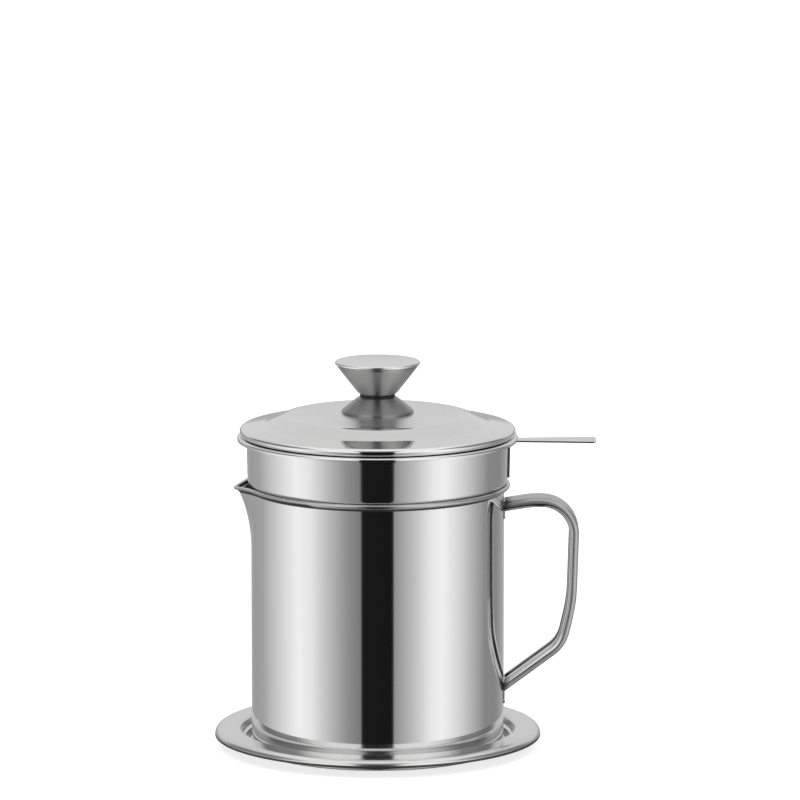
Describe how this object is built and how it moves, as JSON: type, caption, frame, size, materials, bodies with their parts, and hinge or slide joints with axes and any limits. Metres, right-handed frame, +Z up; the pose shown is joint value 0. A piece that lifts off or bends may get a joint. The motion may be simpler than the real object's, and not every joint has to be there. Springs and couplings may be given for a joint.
{
  "type": "oil dispenser",
  "caption": "Stainless oil pot with a pouring spout and strap handle, a lift-out mesh strainer with its own handle, a knobbed lid and a drip tray.",
  "frame": {"origin": "centre of the tray's underside, on the common axis of tray, pot, strainer and lid", "axes": "+Z up along that axis, +X towards both handles, the spout points along -X"},
  "size_m": [0.196, 0.168, 0.2001],
  "materials": {
    "polished_steel": "mirror polished stainless steel",
    "satin_steel": "brushed stainless steel",
    "woven_wire": "fine woven stainless wire",
    "black_plastic": "black heat-resistant plastic"
  },
  "bodies": {
    "tray": {"tray": "satin_steel"},
    "pot": {"pot_body": "polished_steel", "pot_handle": "satin_steel", "upper_plate": "satin_steel", "lower_plate": "satin_steel"},
    "strainer": {"strainer_bowl": "polished_steel", "strainer_mesh": "woven_wire", "mesh_ring": "satin_steel", "strainer_handle": "satin_steel"},
    "lid": {"lid_cover": "polished_steel", "lid_collar": "polished_steel", "knob_skirt": "polished_steel", "knob_spacer": "black_plastic", "knob_grip": "polished_steel", "knob_cap": "satin_steel", "knob_insert": "satin_steel", "knob_screw": "satin_steel", "screw_washer": "satin_steel"}
  },
  "joints": [
    {"name": "pot_lift", "type": "slide", "parent": "tray", "child": "pot", "axis": [0, 0, 1], "range_m": [0, 0.052]},
    {"name": "strainer_lift", "type": "slide", "parent": "pot", "child": "strainer", "axis": [0, 0, 1], "range_m": [0, 0.04]},
    {"name": "lid_lift", "type": "slide", "parent": "strainer", "child": "lid", "axis": [0, 0, 1], "range_m": [0, 0.044]}
  ]
}
